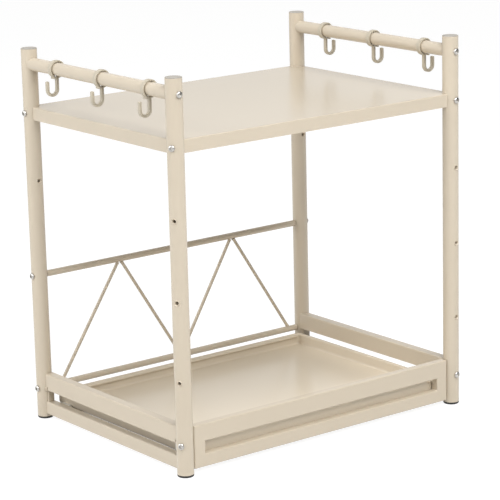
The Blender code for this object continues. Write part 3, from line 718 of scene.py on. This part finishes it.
# %% Back bars
BAR_STEPS = 40
BAR_CHAMFER = 0.5 * MM
for name in ("back_bar_upper", "back_bar_lower"):
    low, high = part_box(name)
    radius = (high.z - low.z) / 2
    half = (high.x - low.x) / 2
    bar = turned([
        (0, half),
        (radius - BAR_CHAMFER, half),
        (radius, half - BAR_CHAMFER),
        (radius, BAR_CHAMFER - half),
        (radius - BAR_CHAMFER, -half),
        (0, -half),
    ], BAR_STEPS)
    stand_for(name, placed(bar, (1, 0, 0), (low + high) / 2))
print("back bars: 2")

# %% Brace wires
WIRE_RADIUS = 2.6 * MM
WELD_RADIUS = 3.2 * MM
BAR_RADIUS = 5.0 * MM
WIRE_END = 4 * MM
WIRE_STEPS = 28
WIRE_CREASE = 50


def middle_x(points, height):
    """The middle of the wire's points near one of its ends."""
    near = [point.x for point in points if abs(point.z - height) < WIRE_END]
    return sum(near) / len(near)


for count in range(1, 5):
    name = f"brace_wire_{count}"
    low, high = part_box(name)
    points = [vertex.co for vertex in nodes[name].data.vertices]
    y = (low.y + high.y) / 2
    start = Vector((middle_x(points, low.z), y, LOWER_BAR_HEIGHT + BAR_RADIUS))
    end = Vector((middle_x(points, high.z), y, UPPER_BAR_HEIGHT - BAR_RADIUS))
    length = (end - start).length
    wire = turned([
        (0, length - 0.3 * MM),
        (WELD_RADIUS, length - 0.3 * MM),
        (WELD_RADIUS - 0.15 * MM, length - 1.2 * MM),
        (WIRE_RADIUS + 0.2 * MM, length - 2.4 * MM),
        (WIRE_RADIUS, length - WIRE_END),
        (WIRE_RADIUS, WIRE_END),
        (WIRE_RADIUS + 0.2 * MM, 2.4 * MM),
        (WELD_RADIUS - 0.15 * MM, 1.2 * MM),
        (WELD_RADIUS, 0.3 * MM),
        (0, 0.3 * MM),
    ], WIRE_STEPS)
    stand_for(name, placed(wire, end - start, start), crease=WIRE_CREASE)
print("brace wires: 4")

# %% [markdown]
# ## Folded sheet
# The shelf, the drawer and the bands of the base are folded from thin sheet. Each is drawn as an open surface
# first, its folds are rounded with a bevel, and only then does it get the thickness of the sheet. The raw edges
# are rounded a little, as paint does.


# %% Folding helpers
SHEET = 1.2 * MM
BEND = 2.0 * MM
BEND_STEPS = 5
EDGE_ROUND = 0.35 * MM
LEAST_FOLD = math.radians(30)


def block(low, high):
    """A box between two corners."""
    low, high = Vector(low), Vector(high)
    bm = bmesh.new()
    bmesh.ops.create_cube(bm, size=1)
    bmesh.ops.scale(bm, vec=high - low, verts=bm.verts)
    return shifted(bm, (low + high) / 2)


def rounded(bm, edges, radius, steps):
    bmesh.ops.bevel(bm, geom=edges, offset=radius, segments=steps, profile=0.5, affect="EDGES", material=-1)


def faced(bm, face, outward):
    """Turns the faces of an open surface so that this one looks outward, and the others with it."""
    bmesh.ops.recalc_face_normals(bm, faces=bm.faces)
    if face.normal.dot(Vector(outward)) < 0:
        bmesh.ops.reverse_faces(bm, faces=bm.faces)


def folded(bm, outward, bend=BEND):
    """Rounds the folds of an open surface, whose widest face looks outward, and gives it the sheet's thickness."""
    faced(bm, max(bm.faces, key=lambda face: face.calc_area()), outward)
    folds = [edge for edge in bm.edges if len(edge.link_faces) == 2 and edge.calc_face_angle(0) > LEAST_FOLD]
    rounded(bm, folds, bend, BEND_STEPS)
    return walled(bm, SHEET)


print("sheet", SHEET / MM, "mm, bend", BEND / MM, "mm")

# %% [markdown]
# ## Upper shelf
# One sheet with all four edges folded down. Its corners are cut round the posts, with a thin dark gap. Under each
# corner sits a curved block that takes the shelf bolt.

# %% Upper shelf
low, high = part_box("shelf")
sheet = block(low, high)
bmesh.ops.delete(sheet, geom=[face for face in sheet.faces if face.normal.z < -0.5], context="FACES_ONLY")
shelf = shaped(folded(sheet, (0, 0, 1)), post_cutters(CORNERS))
stand_for("shelf", softened(shelf, EDGE_ROUND))
shelf_underside = high.z - SHEET
print("shelf top at", round(high.z / MM, 1), "mm")

# %% Shelf corner blocks
BLOCK_WALL = 4 * MM
BLOCK_RADIUS = SEAT_RADIUS + BLOCK_WALL
BLOCK_PAST = math.asin(4.4 * MM / BLOCK_RADIUS)
BLOCK_STEPS = 24
BLOCK_ROUND = 0.4 * MM


def corner_block(corner, bottom, top, start, end):
    """A curved block round a post, between two angles from its X side inward."""
    side_x, side_y, _ = CORNERS[corner]
    bm = bmesh.new()
    section = [(SEAT_RADIUS, bottom), (BLOCK_RADIUS, bottom), (BLOCK_RADIUS, top), (SEAT_RADIUS, top)]
    points = [bm.verts.new((radius * math.cos(start), radius * math.sin(start), z)) for radius, z in section]
    face = bm.faces.new(points)
    bmesh.ops.spin(
        bm, geom=[face, *face.edges, *points], cent=(0, 0, 0), axis=(0, 0, 1), angle=end - start, steps=BLOCK_STEPS
    )
    bmesh.ops.scale(bm, vec=(-side_x, -side_y, 1), verts=bm.verts)
    return closed_up(shifted(bm, post_axis(corner)))


for corner in CORNERS:
    curved = corner_block(corner, low.z + BEND, shelf_underside, -BLOCK_PAST, math.radians(90) + BLOCK_PAST)
    tap = drill(corner, SHELF_BOLT_HEIGHT, -bolt_direction(corner), 0, BLOCK_RADIUS + OVERRUN)
    welded = softened(shaped(curved, [tap]), BLOCK_ROUND)
    add_piece(f"shelf_block_{corner}", welded, paint, "rack")
print("shelf blocks: 4")

# %% [markdown]
# ## Side frames of the base
# Each side has two folded bands with a long slot between them. The upper one is a channel that is open below, so it
# shows a face to both sides. The lower one is open to the inside, and the drawer's glides run in it. Both are drawn
# as an open strip: a few points, drawn out along the depth, folded and cut round the posts.

# %% Side bands
LOWER_LIP = 1.5 * MM
WALL_GAP = 0.3 * MM


def strip(path, outward):
    """A path of (x, z) points drawn out along the depth of the base, folded to sheet."""
    bm = bmesh.new()
    points = [bm.verts.new((x, -REACH, z)) for x, z in path]
    edges = [bm.edges.new(pair) for pair in zip(points, points[1:])]
    drawn_on(bm, edges, (0, 2 * REACH, 0))
    faced(bm, edges[0].link_faces[0], outward)
    folds = [edge for edge in bm.edges if len(edge.link_faces) == 2]
    rounded(bm, folds, BEND, BEND_STEPS)
    return walled(bm, SHEET)


def spigot_notches(corners):
    """Rods that keep a sheet clear of the spigots."""
    return [
        drill(corner, LOWER_BAR_HEIGHT, (0, -CORNERS[corner][1], 0), 0, BLOCK_RADIUS, SPIGOT_HOLE_RADIUS)
        for corner in corners
    ]


for side, side_x in (("left", -1), ("right", 1)):
    corners = [corner for corner in CORNERS if corner.endswith(side)]
    name = f"side_upper_band_{side}"
    low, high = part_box(name)
    outer, inner = (high.x, low.x) if side_x > 0 else (low.x, high.x)
    band = strip([(inner, low.z), (inner, high.z), (outer, high.z), (outer, low.z)], (-side_x, 0, 0))
    band = shaped(band, post_cutters(corners) + spigot_notches(corners))
    stand_for(name, softened(band, EDGE_ROUND))

    name = f"side_lower_band_{side}"
    low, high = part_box(name)
    outer, inner = (high.x, low.x) if side_x > 0 else (low.x, high.x)
    lip = inner + side_x * LOWER_LIP
    band = strip([(lip, high.z), (outer, high.z), (outer, low.z), (inner, low.z)], (0, 0, 1))
    wall_side = outer - side_x * (SHEET + WALL_GAP)
    deep = inner - side_x * OVERRUN
    ends = []
    for side_y in (-1, 1):
        lip_end = side_y * (REACH - BLOCK_RADIUS - WALL_GAP)
        beyond = side_y * (REACH + POST_RADIUS + OVERRUN)
        ends.append(block(
            (min(wall_side, deep), min(lip_end, beyond), low.z - OVERRUN),
            (max(wall_side, deep), max(lip_end, beyond), high.z + OVERRUN),
        ))
    stand_for(name, softened(shaped(band, post_cutters(corners) + ends), EDGE_ROUND))
print("side bands: 4")

# %% Base corner blocks
SPIGOT_RADIUS = 6.0 * MM
SPIGOT_LENGTH = 7 * MM
SPIGOT_ROOT = 2 * MM
SPIGOT_STEPS = 48
CORNER_START = math.radians(60)
CORNER_END = math.radians(90) + math.asin(3.5 * MM / BLOCK_RADIUS)
CORNER_ROUND = 0.5 * MM
REAR_TAP = 12 * MM
FRONT_TAP = 4.3 * MM
for corner in CORNERS:
    low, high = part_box(f"base_corner_{corner}")
    curved = corner_block(corner, low.z, high.z, CORNER_START, CORNER_END)
    side_y = CORNERS[corner][1]
    spigot = rod(SPIGOT_RADIUS, -SPIGOT_LENGTH, SEAT_RADIUS + SPIGOT_ROOT, SPIGOT_STEPS)
    placed(spigot, (0, -side_y, 0), post_axis(corner, LOWER_BAR_HEIGHT))
    whole = shaped(softened(curved, CORNER_ROUND), [spigot], "UNION")
    past = REAR_TAP if side_y > 0 else FRONT_TAP
    tap = drill(corner, LOWER_BAR_HEIGHT, bolt_direction(corner), -past, POST_RADIUS)
    stand_for(f"base_corner_{corner}", shaped(whole, [tap]))
print("base corner blocks: 4")

# %% [markdown]
# ## Drawer
# The drawer is a folded front panel, with a long window whose edges are turned in, and a shallow pan behind it. The
# pan has rounded corners. Its rim is turned out at the sides and the back, and a rolled bead runs along the inside
# of the back. Its front wall stands higher, behind the window.

# %% Drawer front
WINDOW_BOTTOM = 28 * MM
WINDOW_TOP = 47 * MM
WINDOW_MARGIN = 20.5 * MM
WINDOW_INSET = 5 * MM
JAMB = 12.2 * MM
low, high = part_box("drawer_front")
bm = block(low, high)
back = [face for face in bm.faces if face.normal.y > 0.5]
front = [face for face in bm.faces if face.normal.y < -0.5]
bmesh.ops.delete(bm, geom=back, context="FACES_ONLY")
bmesh.ops.inset_region(bm, faces=front, thickness=WINDOW_INSET)
window = front[0]
for corner_point in window.verts:
    corner_point.co.x = math.copysign(high.x - WINDOW_MARGIN, corner_point.co.x)
    corner_point.co.z = WINDOW_TOP if corner_point.co.z > (low.z + high.z) / 2 else WINDOW_BOTTOM
window_edges = list(window.edges)
bmesh.ops.delete(bm, geom=[window], context="FACES_ONLY")
drawn_on(bm, window_edges, (0, JAMB, 0))
stand_for("drawer_front", softened(folded(bm, (0, -1, 0)), EDGE_ROUND))
print("drawer front:", round((high.x - low.x) / MM, 1), "mm wide")

# %% Drawer pan
PAN_RIM = 40 * MM
PAN_LIP = 3 * MM
PAN_FRONT_CORNER = 26 * MM
PAN_REAR_CORNER = 6 * MM
PAN_REAR = 176 * MM
PAN_BEND = 5 * MM
PAN_FOLD = 1.6 * MM
PAN_BEAD = 2.5 * MM
PAN_CORNER_STEPS = 10
PAN_BEND_STEPS = 8
BEAD_STEPS = 32
BEAD_SHORTER = 0.7 * MM
BEAD_INWARD = 0.4 * MM
BEAD_RISE = 0.3 * MM
NEAR = 0.1 * MM
low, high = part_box("drawer_pan")
bm = block((low.x + PAN_LIP, low.y, low.z), (high.x - PAN_LIP, PAN_REAR, PAN_RIM))
lid = [face for face in bm.faces if face.normal.z > 0.5]
bmesh.ops.delete(bm, geom=lid, context="FACES_ONLY")
for radius, end in ((PAN_FRONT_CORNER, low.y), (PAN_REAR_CORNER, PAN_REAR)):
    at_end = [edge for edge in bm.edges if abs(edge.verts[0].co.y - end) < NEAR]
    uprights = [edge for edge in at_end if abs(edge.verts[0].co.z - edge.verts[1].co.z) > PAN_LIP]
    rounded(bm, uprights, radius, PAN_CORNER_STEPS)
floor_edges = [edge for edge in bm.edges if all(vert.co.z < low.z + NEAR for vert in edge.verts)]
rounded(bm, floor_edges, PAN_BEND, PAN_BEND_STEPS)
rim = [edge for edge in bm.edges if edge.is_boundary]
lip_start = low.y + PAN_FRONT_CORNER - NEAR
lip, _ = drawn_on(bm, [edge for edge in rim if all(vert.co.y > lip_start for vert in edge.verts)])
bmesh.ops.scale(bm, vec=(high.x / (high.x - PAN_LIP), 1, 1), verts=lip)
arc_start = PAN_REAR - PAN_REAR_CORNER
bmesh.ops.scale(
    bm,
    vec=(1, (PAN_REAR_CORNER + PAN_LIP) / PAN_REAR_CORNER, 1),
    space=Matrix.Translation((0, -arc_start, 0)),
    verts=[vert for vert in lip if vert.co.y > arc_start],
)
front_rim = [edge for edge in rim if all(vert.co.y < low.y + NEAR for vert in edge.verts)]
drawn_on(bm, front_rim, (0, 0, high.z - PAN_RIM))
pan = softened(folded(bm, (0, 0, -1), PAN_FOLD), EDGE_ROUND)
bead_reach = high.x - PAN_LIP - PAN_REAR_CORNER - BEAD_SHORTER
bead_place = (0, PAN_REAR - SHEET - PAN_BEAD / 2 - BEAD_INWARD, PAN_RIM - PAN_BEAD + BEAD_RISE)
bead = placed(rod(PAN_BEAD, -bead_reach, bead_reach, BEAD_STEPS), (1, 0, 0), bead_place)
# The pan takes the lighter cream, which is painted light for the pan in shade.
stand_for("drawer_pan", shaped(pan, [bead], "UNION"), pan_paint_painted_light)
print("drawer pan:", round((high.y - low.y) / MM, 1), "mm deep")

# %% [markdown]
# ## Hooks
# Each hook is moulded in one piece: an open ring that snaps on the rail, with a small foot to pull it open, and a J
# with a groove along its sides. The ring is a small section spun round the rail, and the J is a section that is
# drawn down, spun through half a turn and drawn up again.

# %% Hook
RING_INNER = 10.3 * MM
RING_OUTER = 13.7 * MM
RING_HALF_WIDTH = 4.0 * MM
RING_END = math.radians(-66)
RING_START = math.radians(270)
FOOT_LENGTH = 2.4 * MM
HOOK_BEND = 8.6 * MM
HOOK_HALF_STROKE = 2.2 * MM
HOOK_HALF_WIDTH = 3.0 * MM
HOOK_LOWEST = -41 * MM
HOOK_TIP = -17 * MM
HOOK_ROOT = 1.6 * MM
HOOK_GROOVE = 0.7 * MM
RING_STEPS = 60
HOOK_BEND_STEPS = 28
# Steps of the tip's rounding: how far each rises, and the share of the width that it keeps.
TIP_ROUNDING = ((0.8 * MM, 0.94), (0.5 * MM, 0.8), (0.3 * MM, 0.55))


def ring_section():
    """Half-width and radius points of the ring: rounded outside, hollowed towards the rail."""
    outer, inner, half = RING_OUTER, RING_INNER, RING_HALF_WIDTH
    return [
        (-half, inner + 1.5 * MM),
        (-half, outer - 0.9 * MM),
        (-half + 0.3 * MM, outer - 0.3 * MM),
        (-half + 0.9 * MM, outer),
        (half - 0.9 * MM, outer),
        (half - 0.3 * MM, outer - 0.3 * MM),
        (half, outer - 0.9 * MM),
        (half, inner + 1.5 * MM),
        (half - 1.6 * MM, inner + 1.3 * MM),
        (half - 1.8 * MM, inner),
        (-half + 1.8 * MM, inner),
        (-half + 1.6 * MM, inner + 1.3 * MM),
    ]


def hook_ring():
    """The open ring round the rail, with its axis on Z."""
    bm = bmesh.new()
    start = Vector((math.cos(RING_END), math.sin(RING_END)))
    points = [bm.verts.new((start.x * radius, start.y * radius, width)) for width, radius in ring_section()]
    face = bm.faces.new(points)
    arc = RING_START - RING_END
    bmesh.ops.spin(
        bm, geom=[face, *face.edges, *points], cent=(0, 0, 0), axis=(0, 0, 1), angle=arc, steps=RING_STEPS
    )
    return closed_up(bm)


def hook_foot():
    """The small foot at the open end of the ring."""
    bm = block((RING_INNER + 0.6 * MM, 0, -RING_HALF_WIDTH), (RING_OUTER + FOOT_LENGTH, 2.4 * MM, RING_HALF_WIDTH))
    bmesh.ops.rotate(bm, cent=(0, 0, 0), matrix=Matrix.Rotation(RING_END, 3, "Z"), verts=bm.verts)
    return softened(bm, 0.7 * MM, 3)


def stroke_section():
    """The J's section: a rounded bar with a groove along its front and its back."""
    stroke, width, groove = HOOK_HALF_STROKE, HOOK_HALF_WIDTH, HOOK_GROOVE
    quarter = [
        (stroke, 0.35 * width),
        (stroke, width - 0.9 * MM),
        (stroke - 0.3 * MM, width - 0.3 * MM),
        (stroke - 0.9 * MM, width),
        (0.45 * stroke, width),
        (0.2 * stroke, width - 0.6 * groove),
        (0.0, width - groove),
    ]
    upper = quarter + [(-x, z) for x, z in reversed(quarter[:-1])]
    return upper + [(x, -z) for x, z in reversed(upper)]


def hook_stroke():
    """The J, in XY with its width along Z. The stem hangs at x = 0."""
    bm = bmesh.new()
    top = -RING_OUTER + HOOK_ROOT
    points = [bm.verts.new((x, top, z)) for x, z in stroke_section()]
    face = bm.faces.new(points)
    bend_height = HOOK_LOWEST + HOOK_HALF_STROKE + HOOK_BEND
    points, loop = drawn_on(bm, list(face.edges), (0, bend_height - top, 0))
    turned_loop = bmesh.ops.spin(
        bm,
        geom=loop + points,
        cent=(HOOK_BEND, bend_height, 0),
        axis=(0, 0, 1),
        angle=math.pi,
        steps=HOOK_BEND_STEPS,
    )["geom_last"]
    tip = HOOK_TIP - sum(rise for rise, _ in TIP_ROUNDING)
    loop = [item for item in turned_loop if isinstance(item, bmesh.types.BMEdge)]
    points, loop = drawn_on(bm, loop, (0, tip - bend_height, 0))
    centre = Vector((2 * HOOK_BEND, tip, 0))
    for rise, share in TIP_ROUNDING:
        points, loop = drawn_on(bm, loop, (0, rise, 0))
        bmesh.ops.scale(bm, vec=(share, 1, share), space=Matrix.Translation(-centre), verts=points)
    bmesh.ops.edgeloop_fill(bm, edges=loop)
    return closed_up(bm)


hook_mesh = bpy.data.meshes.new("hook_parts")
hook_parts = bmesh.new()
for shape in (hook_ring(), hook_foot(), hook_stroke()):
    shape.to_mesh(hook_mesh)
    shape.free()
    hook_parts.from_mesh(hook_mesh)
bpy.data.meshes.remove(hook_mesh)
for name in [name for name in nodes if name.startswith("hook_")]:
    low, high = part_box(name)
    side_x = -1 if "left" in name else 1
    rail_low, rail_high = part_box(f"side_rail_{'left' if side_x < 0 else 'right'}")
    place = (rail_low + rail_high) / 2
    place.y = (low.y + high.y) / 2
    turn = Matrix.Rotation(0 if side_x > 0 else math.pi, 4, "Z") @ Matrix.Rotation(math.radians(90), 4, "X")
    bm = hook_parts.copy()
    bmesh.ops.transform(bm, matrix=Matrix.Translation(place) @ turn, verts=bm.verts)
    stand_for(name, bm)
hook_parts.free()
print("hooks: 6")

# %% [markdown]
# ## Floor and backdrop
# The rack stands in a plain white studio. The floor is a large pale disc. Seen straight by the camera or in a
# reflection it is mostly a plain white, and a share of real shading is kept, so a soft shadow still shows where
# the feet stand.

# %% Floor
FLOOR_RADIUS = 12.0
FLOOR_COLOUR = (0.83, 0.83, 0.82, 1)
FLOOR_SHADOW_SHARE = 0.25
FLOOR_WHITE = 1.22
FLOOR_STEPS = 96

floor_finish = Finish("studio_floor")
floor_finish.set(Base_Color=FLOOR_COLOUR, Roughness=0.9)
ray = floor_finish.add("ShaderNodeLightPath").outputs
seen = Value(floor_finish, ray["Is Camera Ray"]) + ray["Is Glossy Ray"]
white = floor_finish.add("ShaderNodeEmission", None, {"Color": (1, 1, 1, 1), "Strength": FLOOR_WHITE})
shaders = {0: seen * (1 - FLOOR_SHADOW_SHARE), 1: floor_finish.shader.outputs[0], 2: white.outputs[0]}
mix = floor_finish.add("ShaderNodeMixShader", None, shaders)
floor_finish.feed(floor_finish.output.inputs["Surface"], mix.outputs[0])

bm = bmesh.new()
bmesh.ops.create_circle(bm, cap_ends=True, segments=FLOOR_STEPS, radius=FLOOR_RADIUS)
floor_mesh = bpy.data.meshes.new("floor")
bm.to_mesh(floor_mesh)
bm.free()
floor_mesh.materials.append(floor_finish.material)
floor = bpy.data.objects.new("floor", floor_mesh)
bpy.context.scene.collection.objects.link(floor)
floor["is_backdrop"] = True
print("floor radius:", FLOOR_RADIUS, "m")

# %% [markdown]
# ## World
# The white room around the rack gives only a little light, so that the lamps shape the steel, but it is nearly white
# where the paint mirrors it. The part of the room at the front right is dark in those reflections, which gives the
# posts and rails their darker right sides.

# %% World
WORLD_LIGHT = 0.2
WORLD_MIRRORED = 0.9
DARK_MIRRORED = 0.1
DARK_SIDE = (0.8, -0.6, 0.0)
DARK_START = 0.25
DARK_FULL = 0.9

world = bpy.data.worlds.new("studio")
bpy.context.scene.world = world
world.use_nodes = True
studio = Net(world.node_tree)
sky = studio.tree.nodes["Background"]
ray = studio.add("ShaderNodeLightPath").outputs
towards = studio.add("ShaderNodeTexCoord").outputs["Generated"]
side = studio.add("ShaderNodeVectorMath", {"operation": "DOT_PRODUCT"}, {0: towards, 1: DARK_SIDE})
mirrored = studio.add("ShaderNodeMapRange", {"interpolation_type": "SMOOTHSTEP"}, {
    "Value": side.outputs["Value"],
    "From Min": DARK_START,
    "From Max": DARK_FULL,
    "To Min": WORLD_MIRRORED - WORLD_LIGHT,
    "To Max": DARK_MIRRORED - WORLD_LIGHT,
})
strength = WORLD_LIGHT + Value(studio, ray["Is Glossy Ray"]) * mirrored.outputs["Result"]
strength = strength + (Value(studio, ray["Is Transmission Ray"]) + ray["Is Camera Ray"]) * (1 - WORLD_LIGHT)
studio.feed(sky.inputs["Color"], (1, 1, 1, 1))
studio.feed(sky.inputs["Strength"], strength)
print("world light:", WORLD_LIGHT)

# %% [markdown]
# ## Lamps
# Three large soft lamps light the rack: one high in front, one high at the front left and a low one behind the left
# side, which also reaches into the side slot. The shelf's top gets the most light, and the posts at the back stay
# darker under the shelf, as in a real studio. Each lamp is 2.4 m across, so that no hard shadow appears.

# %% Lamps
LAMP_SIZE = 2.4
LAMP_DISTANCE = 3.2
LAMP_TARGET = Vector((0, 0, 0.3))
# Azimuth and elevation in degrees, and power in watts.
LAMPS = {
    "front_lamp": (0, 50, 86),
    "left_lamp": (37, 50, 28),
    "low_left_lamp": (112, 24, 56),
}


def studio_lamp(name, azimuth, elevation, power):
    """A square soft lamp. Azimuth 0 is in front of the rack, and 90 is at its left."""
    around, up = math.radians(azimuth), math.radians(elevation)
    towards = Vector((-math.sin(around) * math.cos(up), -math.cos(around) * math.cos(up), math.sin(up)))
    data = bpy.data.lights.new(name, "AREA")
    data.shape = "SQUARE"
    data.size = LAMP_SIZE
    data.energy = power
    lamp = bpy.data.objects.new(name, data)
    place = Matrix.Translation(LAMP_TARGET + LAMP_DISTANCE * towards)
    lamp.matrix_world = place @ towards.to_track_quat("Z", "Y").to_matrix().to_4x4()
    bpy.context.scene.collection.objects.link(lamp)


for name, (azimuth, elevation, power) in LAMPS.items():
    studio_lamp(name, azimuth, elevation, power)
print("lamps:", len(LAMPS))

# %% Sizes and last line
low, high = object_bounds()
